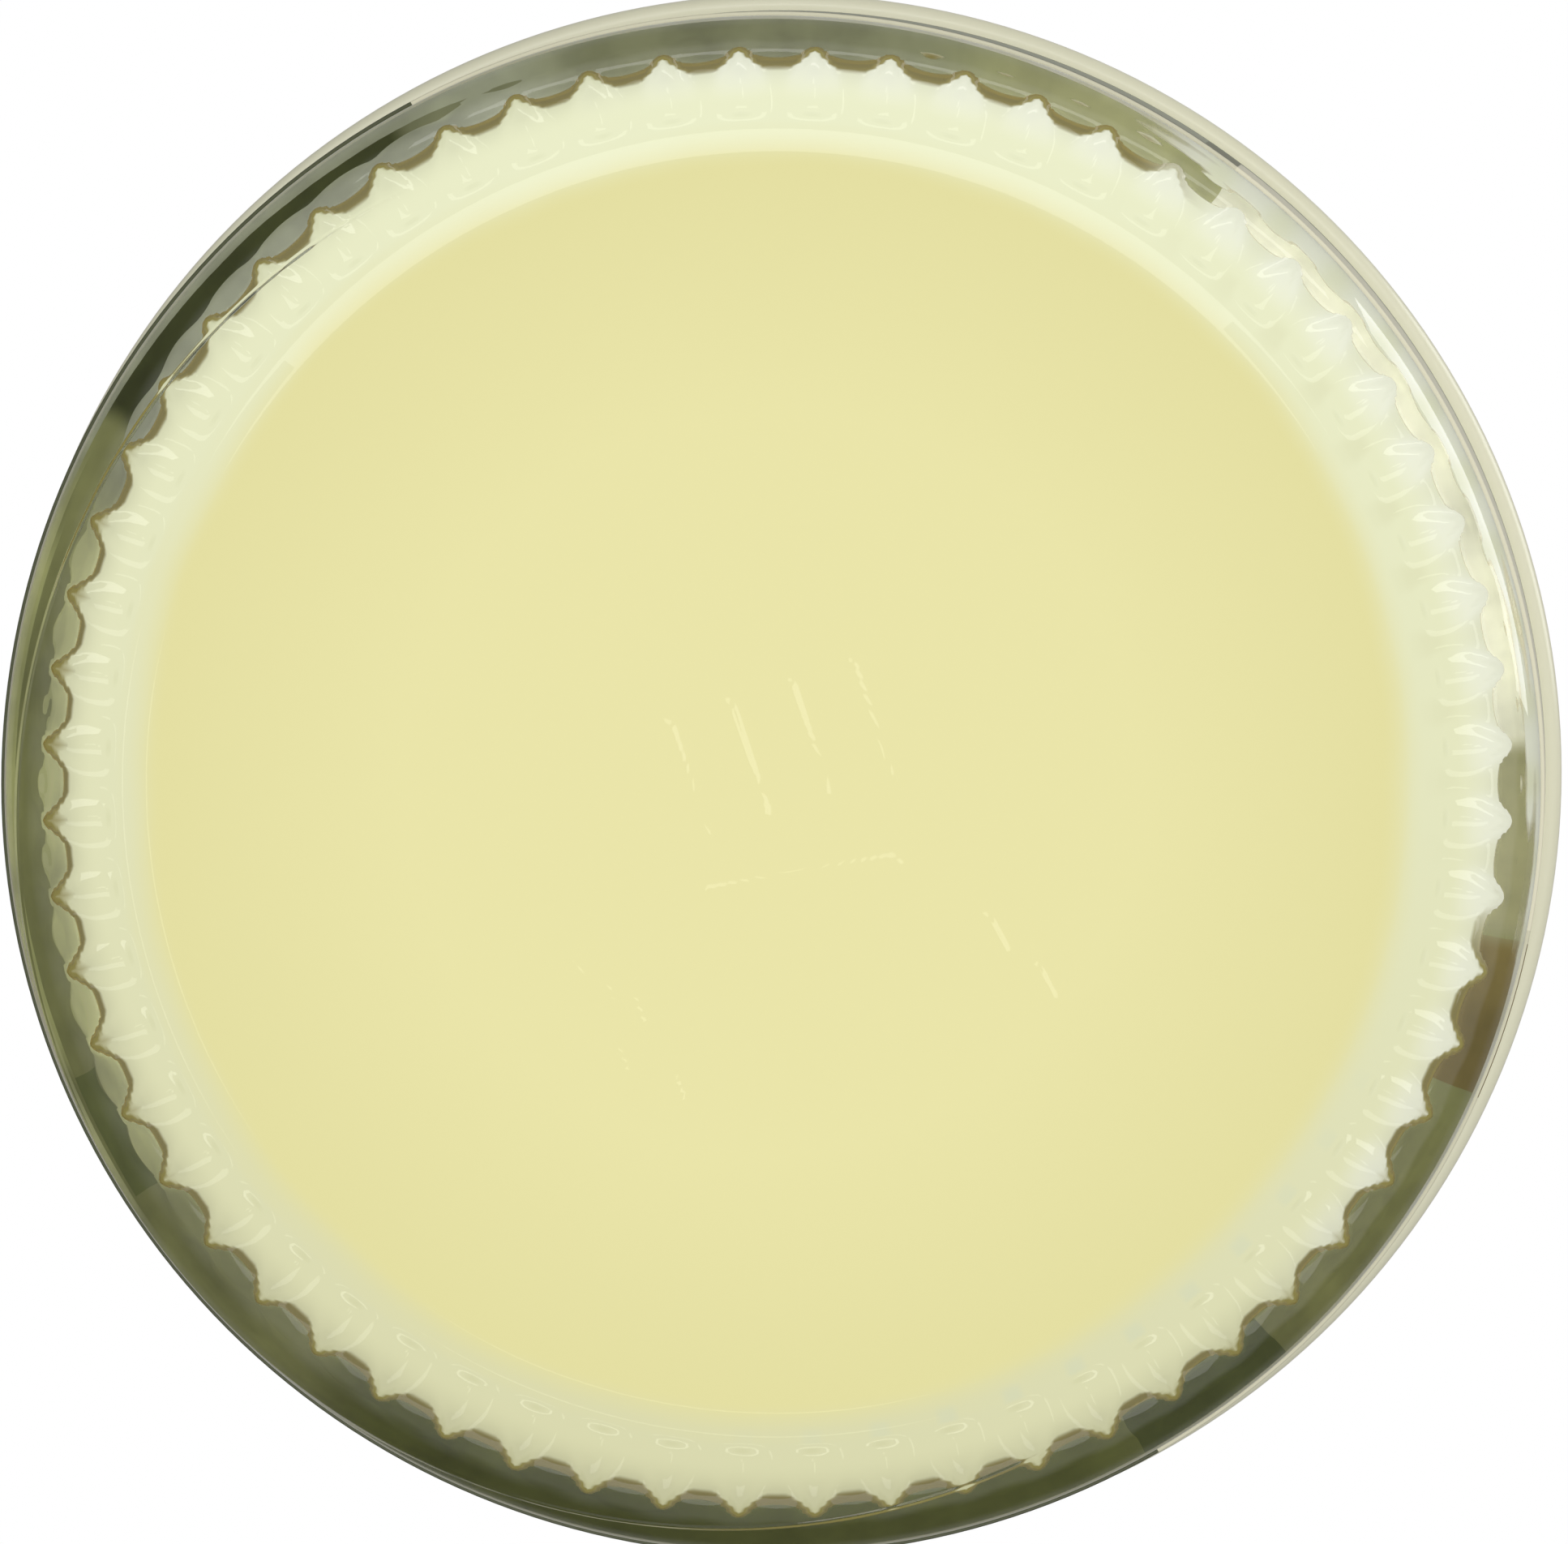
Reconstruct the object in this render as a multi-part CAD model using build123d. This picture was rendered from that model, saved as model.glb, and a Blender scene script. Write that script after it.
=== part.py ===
from build123d import *
import os

# Clotted cream in a squat glass jar with a pressed metal twist lid and a wrap-around film label.
# Millimetres. The jar stands on z = 0 with its axis on +Z, and the front of the label faces -Y.

# Glass jar, outside
body_radius = 38.0  # straight wall
lip_height = 52.0  # top of the mouth
heel_radius = 3.0  # rounding from the base into the wall
shoulder_height = lip_height - 11.5  # top of the straight wall
neck_radius = body_radius - 2.4
neck_foot_height = shoulder_height + 1.5  # where the shoulder reaches the neck
shoulder_rounding = 1.2
lip_rounding = 0.9

# Glass jar, inside
wall = 2.3
neck_wall = 2.3
base_thickness = 2.35  # at the rim of the raised panel
corner_radius = 2.0  # inside corner between floor and wall
inner_shoulder_rounding = 1.0

# Underside: a raised centre panel, and a bearing ring knurled with radial ribs
rib_count = 60
rib_height = 0.45
rib_crest_width = 0.7
rib_outer_radius = body_radius - 2.4  # end of the flat crest
rib_length = 2.3
rib_flank_angle = 45.0
rib_root = 0.85  # how far a rib is carried up into the glass above the ring
panel_radius = body_radius - 6.8
ring_inner_radius = body_radius - 5.7
panel_step = 0.5  # panel edge above the ring
panel_dome = 0.25  # panel centre above its edge
floor_dome = 0.3  # inside floor, centre above its edge
dome_flat_radius = 12.0  # flat middle of the panel and of the floor
dome_rounding = 400.0

# Cream
cream_level = lip_height - 3.6

# Lid
lid_radius = body_radius + 1.0  # outside of the rolled edge
lid_sheet = 0.5
curl_radius = 0.8
curl_bottom = neck_foot_height + 0.6
skirt_inset = 0.7  # skirt inside the rolled edge
lid_corner = 1.5
lid_rim_width = 5.9  # flat rim over the lip, out to the skirt
lid_panel_recess = 0.9
lid_panel_slope = 1.0
button_radius = 9.0
button_slope = 0.8
button_height = 0.4
lid_rounding = 0.3

# Label
label_film = 0.2
label_bottom = 5.0
label_top = shoulder_height - 2.0
label_gap = 1.2  # between the two ends of the film
label_gap_angle = 98.0


def turned(points, roundings):
    """A solid of revolution: straight runs with rounded corners, closed along the axis."""
    with BuildPart() as solid:
        with BuildSketch(Plane.XZ):
            with BuildLine():
                FilletPolyline(*points, radius=roundings)
                Line(points[-1], points[0])
            make_face()
        revolve(axis=Axis.Z)
    return solid.part


def jar_outside():
    ring_height = rib_height
    panel_height = ring_height + panel_step
    panel_centre = panel_height + panel_dome
    points = [
        (0, panel_centre),
        (dome_flat_radius, panel_centre),
        (panel_radius, panel_height),
        (ring_inner_radius, ring_height),
        (body_radius, ring_height),
        (body_radius, shoulder_height),
        (neck_radius, neck_foot_height),
        (neck_radius, lip_height),
        (0, lip_height),
    ]
    neck_rounding = shoulder_rounding / 2
    panel_roundings = [dome_rounding, panel_step, panel_step]
    roundings = panel_roundings + [heel_radius, shoulder_rounding, neck_rounding, lip_rounding]
    return turned(points, roundings)


def cavity(top):
    bore = body_radius - wall
    mouth = neck_radius - neck_wall
    floor_height = rib_height + panel_step + base_thickness
    floor_centre = floor_height + floor_dome
    floor_radius = bore - 2 * corner_radius
    points = [
        (0, floor_centre),
        (dome_flat_radius, floor_centre),
        (floor_radius, floor_height),
        (bore, floor_height),
        (bore, shoulder_height - wall / 2),
        (mouth, neck_foot_height + wall / 2),
        (mouth, top),
        (0, top),
    ]
    mouth_rounding = inner_shoulder_rounding
    roundings = [dome_rounding, corner_radius, corner_radius, inner_shoulder_rounding, mouth_rounding, 0]
    return turned(points, roundings)


def ribs():
    crest = Rectangle(rib_length, rib_crest_width)
    rib = extrude(crest, amount=rib_height + rib_root, taper=-rib_flank_angle)
    return PolarLocations(rib_outer_radius - rib_length / 2, rib_count) * rib


def jar():
    return jar_outside() + ribs() - cavity(lip_height + lip_rounding)


def lid():
    rim_height = lip_height + lid_sheet
    panel_height = rim_height - lid_panel_recess
    button_top = panel_height + button_height
    skirt_radius = lid_radius - skirt_inset
    rim_inner = skirt_radius - lid_rim_width
    curl_height = curl_bottom + curl_radius
    pressed = [
        (0, button_top),
        (button_radius - button_slope, button_top),
        (button_radius, panel_height),
        (rim_inner - lid_panel_slope, panel_height),
        (rim_inner, rim_height),
    ]
    top_side = pressed + [(skirt_radius, rim_height), (skirt_radius, curl_height)]
    skirt_inner = skirt_radius - lid_sheet
    under_side = [(skirt_inner, curl_height), (skirt_inner, rim_height - lid_sheet)]
    under_side += [(radius, height - lid_sheet) for radius, height in reversed(pressed)]
    bends = [lid_rounding] * (len(pressed) - 1)
    roundings = bends + [lid_corner, 0, 0, lid_corner - lid_sheet] + bends
    sheet = turned(top_side + under_side, roundings)
    curl = Pos(0, 0, curl_height) * Torus(lid_radius - curl_radius, curl_radius)
    return sheet + curl


def label():
    height = label_top - label_bottom
    sleeve = Pos(0, 0, label_bottom) * extrude(
        Circle(body_radius + label_film) - Circle(body_radius), amount=height
    )
    gap = Rot(0, 0, label_gap_angle) * Pos(body_radius, 0, label_bottom + height / 2)
    return sleeve - gap * Box(wall, label_gap, height)


os.makedirs("parts", exist_ok=True)
export_step(jar(), "parts/jar_glass.step")
export_step(cavity(cream_level), "parts/cream.step")
export_step(lid(), "parts/lid.step")
export_step(label(), "parts/label.step")
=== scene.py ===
# Clotted cream in a squat glass jar: moulded flint glass, baked cream, pressed tinplate lid, printed film label.
import math
import bpy
import numpy as np
from mathutils import Matrix, Vector


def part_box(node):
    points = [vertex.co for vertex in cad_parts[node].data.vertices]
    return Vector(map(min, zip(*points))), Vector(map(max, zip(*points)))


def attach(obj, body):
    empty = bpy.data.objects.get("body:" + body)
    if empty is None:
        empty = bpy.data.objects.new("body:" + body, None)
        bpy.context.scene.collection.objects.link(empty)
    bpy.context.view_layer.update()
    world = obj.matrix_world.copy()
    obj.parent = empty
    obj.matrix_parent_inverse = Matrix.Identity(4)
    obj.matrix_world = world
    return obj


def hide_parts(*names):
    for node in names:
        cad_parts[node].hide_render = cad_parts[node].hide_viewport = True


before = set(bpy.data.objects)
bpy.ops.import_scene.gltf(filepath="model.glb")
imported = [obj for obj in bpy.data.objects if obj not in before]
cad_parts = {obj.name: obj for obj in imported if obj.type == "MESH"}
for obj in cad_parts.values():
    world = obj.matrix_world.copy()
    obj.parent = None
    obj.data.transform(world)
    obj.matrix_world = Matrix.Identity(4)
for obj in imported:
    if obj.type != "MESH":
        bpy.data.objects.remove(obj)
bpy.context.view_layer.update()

print("frame loaded")
scene = bpy.context.scene
millimetre = 0.001


def hexColour(code):
    parts = [int(code[i:i + 2], 16) / 255 for i in (1, 3, 5)]
    linear = [c / 12.92 if c <= 0.04045 else ((c + 0.055) / 1.055) ** 2.4 for c in parts]
    return (*linear, 1.0)


def addNode(tree, kind, inputs=None, **settings):
    node = tree.nodes.new(kind)
    for name, value in settings.items():
        setattr(node, name, value)
    for socket, value in (inputs or {}).items():
        if isinstance(value, bpy.types.NodeSocket):
            tree.links.new(value, node.inputs[socket])
        else:
            node.inputs[socket].default_value = value
    return node


def newMaterial(name):
    material = bpy.data.materials.new(name)
    material.use_nodes = True
    tree = material.node_tree
    tree.nodes.clear()
    return material, tree, addNode(tree, "ShaderNodeOutputMaterial")


def smoothStep(low, high, value):
    t = np.clip((value - low) / (high - low), 0, 1)
    return t * t * (3 - 2 * t)


def roundedPath(corners, arcStep, runStep):
    # corners are (radius, height, rounding); straight runs and arcs are divided evenly, in millimetres
    points = [np.array(corners[0][:2], float)]
    last = points[0]
    for i in range(1, len(corners)):
        here = np.array(corners[i][:2], float)
        rounding = corners[i][2] if i < len(corners) - 1 else 0
        before = last - here
        before /= np.linalg.norm(before)
        arc = []
        start = here
        if rounding:
            after = np.array(corners[i + 1][:2], float) - here
            after /= np.linalg.norm(after)
            half = math.acos(np.clip(before @ after, -1, 1)) / 2
            reach = rounding / math.tan(half)
            start, end = here + before * reach, here + after * reach
            centre = here + (before + after) / np.linalg.norm(before + after) * rounding / math.sin(half)
            a, b = start - centre, end - centre
            turn = math.atan2(a[0] * b[1] - a[1] * b[0], a @ b)
            count = max(2, math.ceil(abs(turn) * rounding / arcStep))
            for k in range(1, count + 1):
                c, s = math.cos(turn * k / count), math.sin(turn * k / count)
                arc.append(centre + np.array([a[0] * c - a[1] * s, a[0] * s + a[1] * c]))
        run = np.linalg.norm(start - points[-1])
        count = max(1, math.ceil(run / runStep))
        origin = points[-1]
        if run > 1e-6:
            points += [origin + (start - origin) * k / count for k in range(1, count + 1)]
        points += arc
        last = here
    return np.array(points)


def pathNormals(path):
    # outward normals of a path that runs with the solid on its left
    along = np.gradient(path, axis=0)
    along /= np.linalg.norm(along, axis=1)[:, None]
    return np.stack([along[:, 1], -along[:, 0]], axis=1)


def turnedRows(path, columns, shape=None):
    # one ring of points for each path point; shape(radius, height, angle, normal) may move them
    angle = np.arange(columns) * 2 * math.pi / columns
    rows = []
    for (radius, height), normal in zip(path, pathNormals(path)):
        r = np.full(columns, float(radius))
        z = np.full(columns, float(height))
        x, y = r * np.cos(angle), r * np.sin(angle)
        if shape:
            x, y, z = shape(r, z, angle, normal)
        rows.append(np.stack([x, y, z], axis=1))
    return rows


def ringMesh(name, rows, startPoint=None, endPoint=None, closed=False):
    # joins rings of points into one skin; a ring may have a whole multiple of its neighbour's points
    starts = np.cumsum([0] + [len(row) for row in rows])
    points = np.concatenate(rows)
    faces = []
    pairs = list(range(len(rows) - 1)) + ([len(rows) - 1] if closed else [])
    for i in pairs:
        k = (i + 1) % len(rows)
        a, b, m, n = starts[i], starts[k], len(rows[i]), len(rows[k])
        if m == n:
            faces += [(a + j, a + (j + 1) % m, b + (j + 1) % m, b + j) for j in range(m)]
        elif n > m:
            q = n // m
            for j in range(m):
                far = [b + (j * q + t) % n for t in range(q, -1, -1)]
                faces.append((a + j, a + (j + 1) % m, *far))
        else:
            q = m // n
            for j in range(n):
                near = [a + (j * q + t) % m for t in range(q + 1)]
                faces.append((*near, b + (j + 1) % n, b + j))
    extra = []
    if startPoint is not None:
        centre = len(points) + len(extra)
        extra.append(startPoint)
        m = len(rows[0])
        faces += [(centre, (j + 1) % m, j) for j in range(m)]
    if endPoint is not None:
        centre = len(points) + len(extra)
        extra.append(endPoint)
        a, m = starts[-2], len(rows[-1])
        faces += [(centre, a + j, a + (j + 1) % m) for j in range(m)]
    if extra:
        points = np.concatenate([points, np.array(extra, float)])
    mesh = bpy.data.meshes.new(name)
    mesh.from_pydata((points * millimetre).tolist(), [], [tuple(int(v) for v in f) for f in faces])
    mesh.shade_smooth()
    mesh.update()
    piece = bpy.data.objects.new(name, mesh)
    scene.collection.objects.link(piece)
    return piece


def inMillimetres(node):
    low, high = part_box(node)
    return low / millimetre, high / millimetre


underView = {  # how the underside is seen
    "roll": 291.0,  # degrees; angle round the jar = roll - angle seen from below, anticlockwise from the right
    "distance": 2.8,  # metres from the base
    "tilt": 1.18,  # degrees off the jar's axis
    "tiltSeen": 46.0,  # side of the view that the camera leans to
    "framing": 1.0083,  # width of the view over the width of the lid
}


def seenFromBelow(right, up):
    roll = math.radians(underView["roll"])
    return right * math.cos(roll) + up * math.sin(roll), right * math.sin(roll) - up * math.cos(roll)


jarSizes = {  # millimetres
    "wall": 2.3, "heel": 3.0, "neckRadius": 35.6, "neckWall": 2.3,
    "shoulderHeight": 40.5, "neckFoot": 42.0, "shoulderRounding": 1.2, "lipRounding": 0.9,
    "ringHeight": 0.45, "ringInner": 32.3,
    "panelRadius": 31.2, "panelStep": 0.3, "panelDome": 0.25, "panelRounding": 0.15,
    "flatRadius": 12.0, "domeRounding": 400.0, "base": 2.55, "floorDome": 0.3, "corner": 2.0,
    "innerShoulder": 1.0,
    "ribs": 60, "ribHalfWidth": 1.6, "ribNose": 1.0, "ribStart": 32.7, "crestStart": 33.4, "crestEnd": 35.0,
    "ribRounding": 1.6, "valleyReach": 0.16,
    "coreShift": 0.28, "coreShiftSeen": 23.0,  # the inside and the base sit a little to one side of the wall
    "crestRadius": 8.0,  # a rib's crest is a little crowned along its length
    "seamRadius": 34.95, "seamShift": 3.0, "seamSeen": 217.0,
    "seamWidth": 0.14, "seamTop": 3.2, "seamCentre": 207.0, "seamHeight": 0.04,
    "wallStart": 3.6, "wallRun": 4.6,  # where the heel's fine rings end and the plain wall's rings begin
    "ripple": 0.07,  # unevenness of blown glass inside
}
glassLow, glassHigh = inMillimetres("jar_glass")
bodyRadius = glassHigh.x
lipHeight = glassHigh.z
cutColumns, panelColumns, wallColumns = 960, 480, 240


def heelHeight(radius):
    # the underside: flat ring, then the heel's rounding
    j = jarSizes
    over = np.clip(radius - (bodyRadius - j["heel"]), 0, j["heel"] * 0.999)
    return j["ringHeight"] + j["heel"] - np.sqrt(j["heel"] ** 2 - over**2)


def ribDrop(radius, angle):
    # how far the underside is lowered by a rib, or by the flat that reaches into the heel between two ribs
    j = jarSizes
    pitch = 2 * math.pi / j["ribs"]
    across = radius * ((angle + pitch / 2) % pitch - pitch / 2)
    bell = np.where(np.abs(across) < j["ribHalfWidth"], 0.5 + 0.5 * np.cos(math.pi * across / j["ribHalfWidth"]), 0)
    valley = j["valleyReach"] * (0.5 - 0.5 * np.cos(j["ribs"] * angle)) * (1 - smoothStep(36, 37, radius))
    surface = heelHeight(radius - valley)
    crest = surface * (1 - smoothStep(j["ribStart"], j["crestStart"], radius))
    middle = (j["crestStart"] + j["crestEnd"]) / 2
    crest += np.minimum(np.abs(radius - middle), 0.8) ** 2 / (2 * j["crestRadius"])
    nose = radius + j["ribNose"] * np.abs(across) ** 1.4 - j["crestEnd"]
    crest += j["ribRounding"] - np.sqrt(j["ribRounding"] ** 2 - np.clip(nose, 0, j["ribRounding"] * 0.999) ** 2)
    ends = (radius > j["ribStart"]) & (nose < j["ribRounding"])
    return np.where(ends, np.maximum(0, surface - crest), 0) * bell + heelHeight(radius) - surface


def coreOffset(share):
    j = jarSizes
    turn = math.radians(j["coreShiftSeen"])
    x, y = seenFromBelow(math.cos(turn), math.sin(turn))
    return x * share * j["coreShift"], y * share * j["coreShift"]


markBars = [  # plain raised bars in the base, seen from below: right, up, turn in degrees, length, width
    (-4.3, 0.2, -72, 5.6, 0.5), (-1.3, 1.2, -72, 5.6, 0.5), (1.7, 2.2, -72, 5.6, 0.5), (4.7, 3.2, -72, 5.6, 0.5),
    (1.3, -4.6, 10, 9.6, 0.5),
    (-9.6, -9.6, -68, 1.4, 0.42), (-8.2, -10.4, -68, 1.4, 0.42), (-6.8, -11.2, -68, 1.4, 0.42),
    (-7.6, -13.6, -66, 1.2, 0.42), (-4.8, -15.0, -66, 1.2, 0.42),
    (11.0, -7.4, -62, 1.8, 0.42), (13.4, -9.8, -62, 1.8, 0.42),
]
markHeight = 0.05


def markRelief(x, y):
    height = np.zeros_like(x)
    for right, up, turn, length, width in markBars:
        cx, cy = seenFromBelow(right, up)
        a = math.radians(turn)
        ax, ay = seenFromBelow(math.cos(a), math.sin(a))
        along = (x - cx) * ax + (y - cy) * ay
        across = (y - cy) * ax - (x - cx) * ay
        beyond = np.maximum(np.abs(along) - length / 2, 0)
        near = np.hypot(beyond, across) / width
        height = np.maximum(height, markHeight * np.exp(-(near**2) * 2))
    return height


def undersideShape(r, z, angle, normal):
    z = np.where(r > jarSizes["ringInner"], z - ribDrop(r, angle), z)
    dx, dy = coreOffset(1 - smoothStep(36.5, bodyRadius, r))
    x, y = r * np.cos(angle) + dx, r * np.sin(angle) + dy
    return x, y, z - markRelief(x, y)


def innerRipple(angle, z):
    # slow waves left in the wall by blowing
    wave = np.sin(2 * angle + 0.4 + z * 0.05) + 0.6 * np.sin(3 * angle - 1.1 + z * 0.11)
    wave = wave + 0.35 * np.sin(7 * angle + z * 0.31) + 0.3 * np.sin(5 * angle + 2.0 - z * 0.23)
    return jarSizes["ripple"] * wave


def innerShape(r, z, angle, normal):
    fade = smoothStep(20, 34, r) * (1 - smoothStep(34, 40, z))
    move = innerRipple(angle, z) * fade
    r = r + move * normal[0]
    dx, dy = coreOffset(1 - smoothStep(25, 40, z))
    return r * np.cos(angle) + dx, r * np.sin(angle) + dy, z + move * normal[1] * 0.3


def innerCorners(top, reach=0.0):
    # inside of the jar from the floor's middle up to a height; reach takes it that far into the glass
    j = jarSizes
    bore, mouth = bodyRadius - j["wall"] + reach, j["neckRadius"] - j["neckWall"] + reach
    floor = j["ringHeight"] + j["panelStep"] + j["base"] - reach
    return [
        (0.3, floor + j["floorDome"], 0), (j["flatRadius"], floor + j["floorDome"], j["domeRounding"]),
        (bore - 2 * j["corner"], floor, j["corner"]), (bore, floor, j["corner"]),
        (bore, j["shoulderHeight"] - j["wall"] / 2, j["innerShoulder"]),
        (mouth, j["neckFoot"] + j["wall"] / 2, j["innerShoulder"]), (mouth, top, 0),
    ]


def glassMaterial(name, moulded):
    # soda-lime flint glass: clear, fire-polished, a breath of green
    material, tree, output = newMaterial(name)
    glass = addNode(tree, "ShaderNodeBsdfPrincipled", {
        "Base Color": hexColour("#F3F8EE"), "Roughness": 0.0, "IOR": 1.52, "Transmission Weight": 1.0})
    tree.links.new(glass.outputs[0], output.inputs["Surface"])
    if not moulded:
        return material
    # the moulded outside: slow waves, and a fine seam underneath where the mould's bottom plate meets its sides
    j = jarSizes
    place = addNode(tree, "ShaderNodeTexCoord")
    waves = addNode(tree, "ShaderNodeTexNoise", {"Vector": place.outputs["Object"], "Scale": 180.0, "Detail": 1.0})
    bump = addNode(tree, "ShaderNodeBump", {"Height": waves.outputs["Fac"], "Strength": 0.06, "Distance": 0.001})
    axes = addNode(tree, "ShaderNodeSeparateXYZ", {0: place.outputs["Object"]})
    flat = addNode(tree, "ShaderNodeCombineXYZ", {"X": axes.outputs["X"], "Y": axes.outputs["Y"]})
    turn = math.radians(j["seamSeen"])
    middle = seenFromBelow(j["seamShift"] * math.cos(turn), j["seamShift"] * math.sin(turn))
    away = addNode(tree, "ShaderNodeVectorMath", {
        0: flat.outputs[0], 1: (middle[0] * millimetre, middle[1] * millimetre, 0)}, operation="DISTANCE")
    off = addNode(tree, "ShaderNodeMath", {0: away.outputs["Value"], 1: j["seamRadius"] * millimetre},
                  operation="SUBTRACT")
    near = addNode(tree, "ShaderNodeMath", {0: off.outputs[0]}, operation="ABSOLUTE")
    ridge = addNode(tree, "ShaderNodeMapRange", {
        "Value": near.outputs[0], "From Min": j["seamWidth"] * millimetre, "From Max": 0.0},
        interpolation_type="SMOOTHSTEP")
    centre = math.radians(j["seamCentre"])
    side = addNode(tree, "ShaderNodeVectorMath", {
        0: flat.outputs[0], 1: (*seenFromBelow(math.cos(centre), math.sin(centre)), 0)}, operation="DOT_PRODUCT")
    worn = addNode(tree, "ShaderNodeMapRange", {
        "Value": side.outputs["Value"], "From Min": 2 * millimetre, "From Max": 10 * millimetre})
    low = addNode(tree, "ShaderNodeMath", {0: axes.outputs["Z"], 1: j["seamTop"] * millimetre}, operation="LESS_THAN")
    lowRidge = addNode(tree, "ShaderNodeMath", {0: ridge.outputs[0], 1: low.outputs[0]}, operation="MULTIPLY")
    seam = addNode(tree, "ShaderNodeMath", {0: lowRidge.outputs[0], 1: worn.outputs[0]}, operation="MULTIPLY")
    ridged = addNode(tree, "ShaderNodeBump", {
        "Height": seam.outputs[0], "Strength": 1.0, "Distance": j["seamHeight"] * millimetre,
        "Normal": bump.outputs["Normal"]})
    tree.links.new(ridged.outputs["Normal"], glass.inputs["Normal"])
    return material


def makeJar():
    j = jarSizes
    panel = j["ringHeight"] + j["panelStep"]
    whole = roundedPath([
        (0.3, panel + j["panelDome"], 0), (j["flatRadius"], panel + j["panelDome"], j["domeRounding"]),
        (j["panelRadius"], panel, j["panelRounding"]), (j["ringInner"], j["ringHeight"], j["panelRounding"]),
        (bodyRadius, j["ringHeight"], j["heel"]), (bodyRadius, j["wallStart"], 0)], 0.02, 0.02)
    # spacing of the rings from each radius on: fine at the panel's edge and on the ribs
    steps = [(0, 0.3), (18.5, 0.9), (30.8, 0.15), (34.7, 0.09), (36.8, 0.2)]
    ribsFrom, ribsTo = 32.6, 37.0  # rings with enough points for the ribs
    kept, run = [0], 0
    for i in range(1, len(whole)):
        run += np.linalg.norm(whole[i] - whole[i - 1])
        step = [length for radius, length in steps if whole[i][0] >= radius][-1]
        if run >= step or i == len(whole) - 1:
            kept.append(i)
            run = 0
    whole = whole[kept]
    under = whole[whole[:, 0] < ribsFrom]
    ring = whole[(whole[:, 0] >= ribsFrom) & (whole[:, 0] < ribsTo)]
    heel = whole[whole[:, 0] >= ribsTo]
    wall = roundedPath([
        (bodyRadius, j["wallRun"], 0), (bodyRadius, j["shoulderHeight"], j["shoulderRounding"]),
        (j["neckRadius"], j["neckFoot"], j["shoulderRounding"] / 2),
        (j["neckRadius"], lipHeight, j["lipRounding"]),
        (j["neckRadius"] - j["neckWall"], lipHeight, j["lipRounding"]),
        (j["neckRadius"] - j["neckWall"], lipHeight - 2, 0)], 0.2, 2.0)
    inside = roundedPath(innerCorners(lipHeight - 2.5), 0.25, 1.5)[::-1]
    rows = turnedRows(under, panelColumns, undersideShape) + turnedRows(ring, cutColumns, undersideShape)
    rows += turnedRows(heel, wallColumns, undersideShape) + turnedRows(wall, wallColumns)
    insideNormals = -pathNormals(inside[::-1])[::-1]
    angle = np.arange(wallColumns) * 2 * math.pi / wallColumns
    for (r, z), normal in zip(inside, insideNormals):
        x, y, height = innerShape(np.full(wallColumns, r), np.full(wallColumns, z), angle, -normal)
        rows.append(np.stack([x, y, height], axis=1))
    bottom = (*coreOffset(1), panel + j["panelDome"])
    floor = (*coreOffset(1), panel + j["base"] + j["floorDome"])
    jar = ringMesh("jarGlass", rows, bottom, floor)
    jar.data.materials.append(glassMaterial("MouldedFlintGlass", True))
    jar.data.materials.append(glassMaterial("PlainFlintGlass", False))
    for face in jar.data.polygons:
        radius, height = face.center.xy.length / millimetre, face.center.z / millimetre
        outside = radius > bodyRadius - 0.5 or (radius > ribsFrom and height < j["seamTop"])
        face.material_index = 0 if outside else 1
    jar.visible_shadow = False  # light reaches the cream as through thin clear glass
    jar.visible_diffuse = False
    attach(jar, "root")
    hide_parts("jar_glass")
    return jar


creamLook = {
    "reach": 0.05,  # millimetres into the glass, so that no air shows between
    # the heart's yellow turns a little darker out to the edge, as painted shade; the rim's two colours are painted
    # shade and painted light, by which side of the jar the light falls on
    "heart": "#EEE6AA", "edge": "#E8E0A2", "shade": "#DBD8AE", "paintedLit": "#F1F2D0",
    # painted shade: colour and height band of a thin browner line round the cream's bottom corner
    "cornerShade": "#9E9356", "cornerShadeLine": (3.85, 4.6), "cornerShadeFade": 0.08,
    # where cream is seen at a slant through glass: from and to facing of a part gloss, then of a full mirror
    "glossFacing": (0.25, 0.35), "glossShare": 0.4, "mirrorFacing": (0.42, 0.44), "warmGloss": "#C8A850",
    "clouds": 1.2, "paintedRibLightTop": (7, 5.5),
    # colours of painted light and shade from the ribs: a gleam of focused light over them, shade between them, a cool
    # shadow under them
    "paintedGleam": "#FFFFF6", "paintedShade": "#D6D3A8", "paintedShadow": "#C4D2C8", "litSideSeen": 22.5,
    "paintedRibLight": [  # colour, none and all of it by the cosine across a rib, from and to radius, softness, strength,
        # and the side of the jar with the cosine where it starts
        ("paintedShade", 0.2, -1, 32.4, 33.6, 0.35, 0.3, 25, 0.75), ("paintedShadow", 0.3, 1, 32.4, 32.7, 0.4, 0.35, 300, 0.7),
        ("paintedGleam", -2.5, 1, 34.4, 36.5, 0.8, 0.6, 30, 0.2),
    ],
    "crust": "#E3CF86", "heartRadius": 19.0, "edgeRadius": 31.0, "rimRadius": 32.0, "paintedLitSeen": 80.0,
}


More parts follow.
